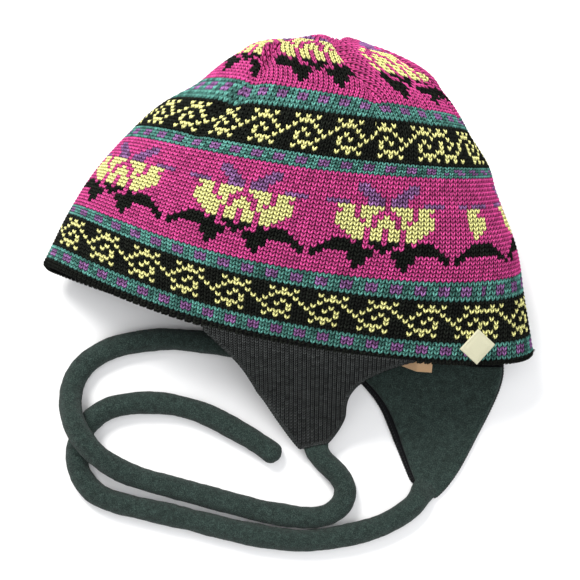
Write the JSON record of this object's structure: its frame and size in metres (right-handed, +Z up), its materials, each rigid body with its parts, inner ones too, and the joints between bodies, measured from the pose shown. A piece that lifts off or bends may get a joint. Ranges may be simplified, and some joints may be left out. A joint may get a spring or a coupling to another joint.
{
  "type": "chullo hat",
  "caption": "Knitted earflap hat lying on its side, with banded jacquard bands, black ear flaps, fleece lining and long fleece ties.",
  "frame": {"origin": "on the surface that the hat lies on, on the flattened lower wall just inside the middle of the mouth", "axes": "+X to the back of the head, +Y from the mouth to the crown, +Z up, from the wearer's right side to the left side"},
  "size_m": [0.2493, 0.2513, 0.0945],
  "materials": {
    "jacquard": "knitted magenta, teal, purple, yellow and black yarn",
    "black_knit": "fine black knit",
    "fleece": "dark green-grey fleece with light flecks",
    "label_cream": "woven cream tape",
    "label_tan": "satin tape"
  },
  "bodies": {
    "root": {"knit_shell": "jacquard", "rim_facing": "black_knit", "fleece_band": "fleece", "flap_left_knit": "black_knit", "flap_left_fleece": "fleece", "flap_right_knit": "black_knit", "flap_right_fleece": "fleece", "tie_left": "fleece", "tie_right": "fleece", "label_tab": "label_cream", "care_label": "label_tan"}
  },
  "joints": []
}
